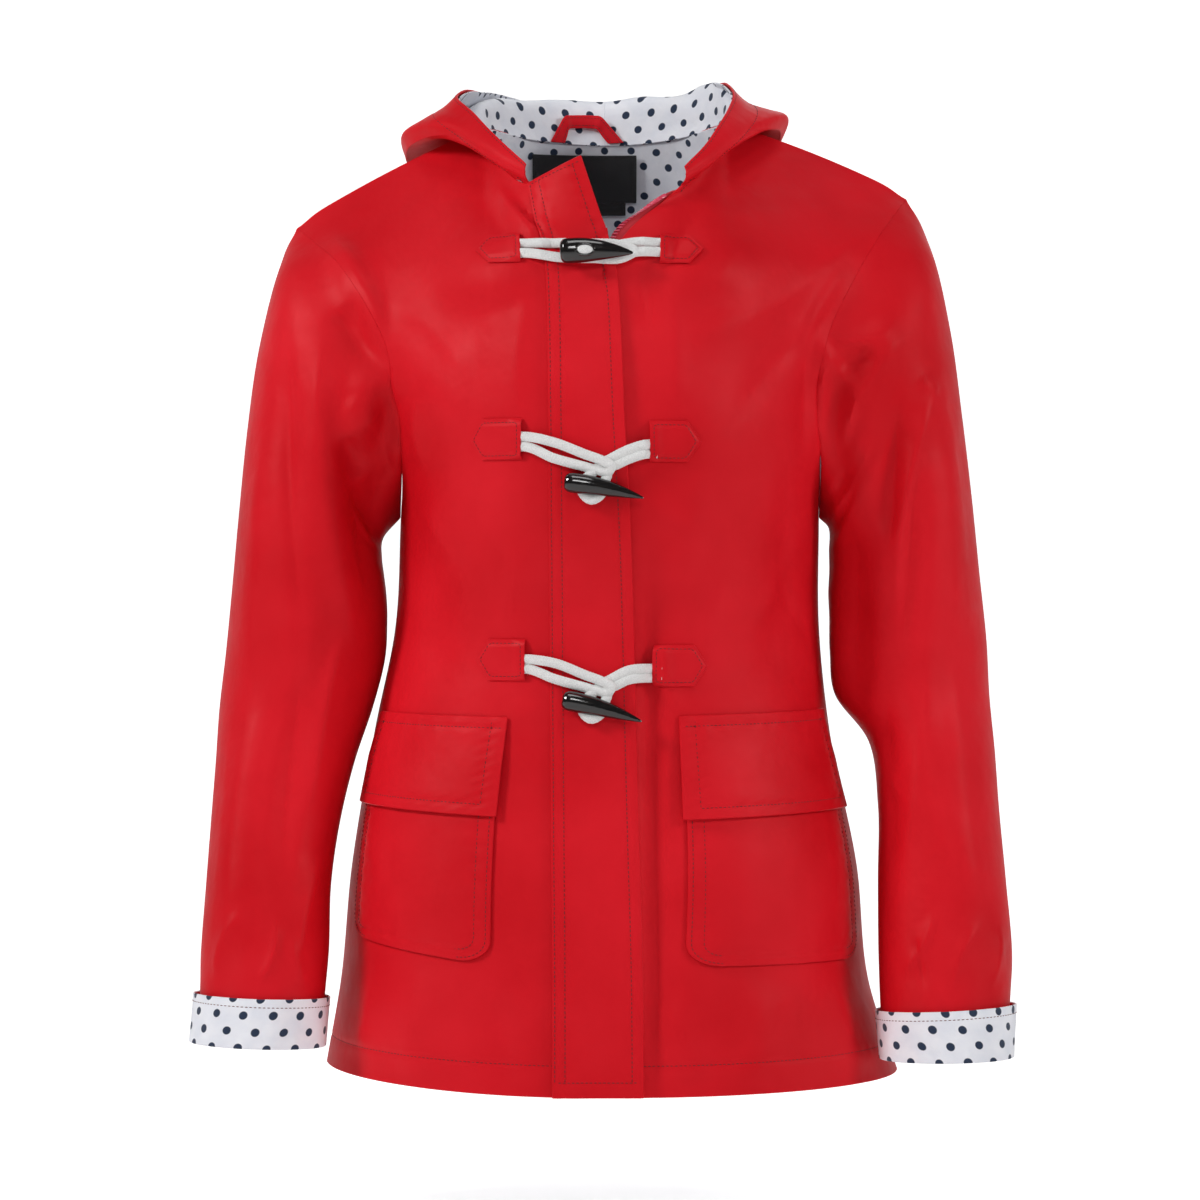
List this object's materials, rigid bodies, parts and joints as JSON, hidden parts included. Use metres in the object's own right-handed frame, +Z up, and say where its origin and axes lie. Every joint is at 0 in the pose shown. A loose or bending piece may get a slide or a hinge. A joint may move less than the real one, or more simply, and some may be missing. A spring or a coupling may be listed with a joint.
{
  "type": "hooded rain slicker",
  "caption": "Hooded duffle-style rain jacket filled out as worn: storm flap over a zip, toggle fastenings on cords, flapped patch pockets, turned-up lined cuffs.",
  "frame": {"origin": "middle of the shoulder line, between the two shoulder seams", "axes": "+Z up the garment, the front faces -Y, +X to the viewer's right as seen from the front"},
  "size_m": [0.5797, 0.3139, 0.7194],
  "materials": {
    "coated": "satin coated waterproof cloth",
    "trim": "satin coated patches, stitched round",
    "tape": "matt woven tape",
    "lining": "matt printed cotton, small dark blue dots",
    "cord": "matt braided cord",
    "horn": "polished",
    "label": "matt woven label, left bare",
    "slider": "satin painted"
  },
  "bodies": {
    "root": {"back": "coated", "cuff_left": "lining", "cuff_right": "lining", "front_left": "coated", "front_right": "coated", "hanger_loop": "tape", "hood_left": "coated", "hood_lining_left": "lining", "hood_lining_right": "lining", "hood_right": "coated", "label": "label", "loop_cord_bottom": "cord", "loop_cord_middle": "cord", "loop_cord_top": "cord", "neck_lining": "lining", "patch_left_bottom": "trim", "patch_left_middle": "trim", "patch_left_top": "trim", "patch_right_bottom": "trim", "patch_right_middle": "trim", "patch_right_top": "trim", "pocket_flap_left": "coated", "pocket_flap_right": "coated", "pocket_left": "coated", "pocket_right": "coated", "size_tab": "label", "sleeve_left": "coated", "sleeve_right": "coated", "storm_flap": "coated", "toggle_bottom": "horn", "toggle_cord_bottom": "cord", "toggle_cord_middle": "cord", "toggle_cord_top": "cord", "toggle_middle": "horn", "toggle_top": "horn", "zip_slider": "slider", "zip_tape_left": "tape", "zip_tape_right": "tape"}
  },
  "joints": []
}
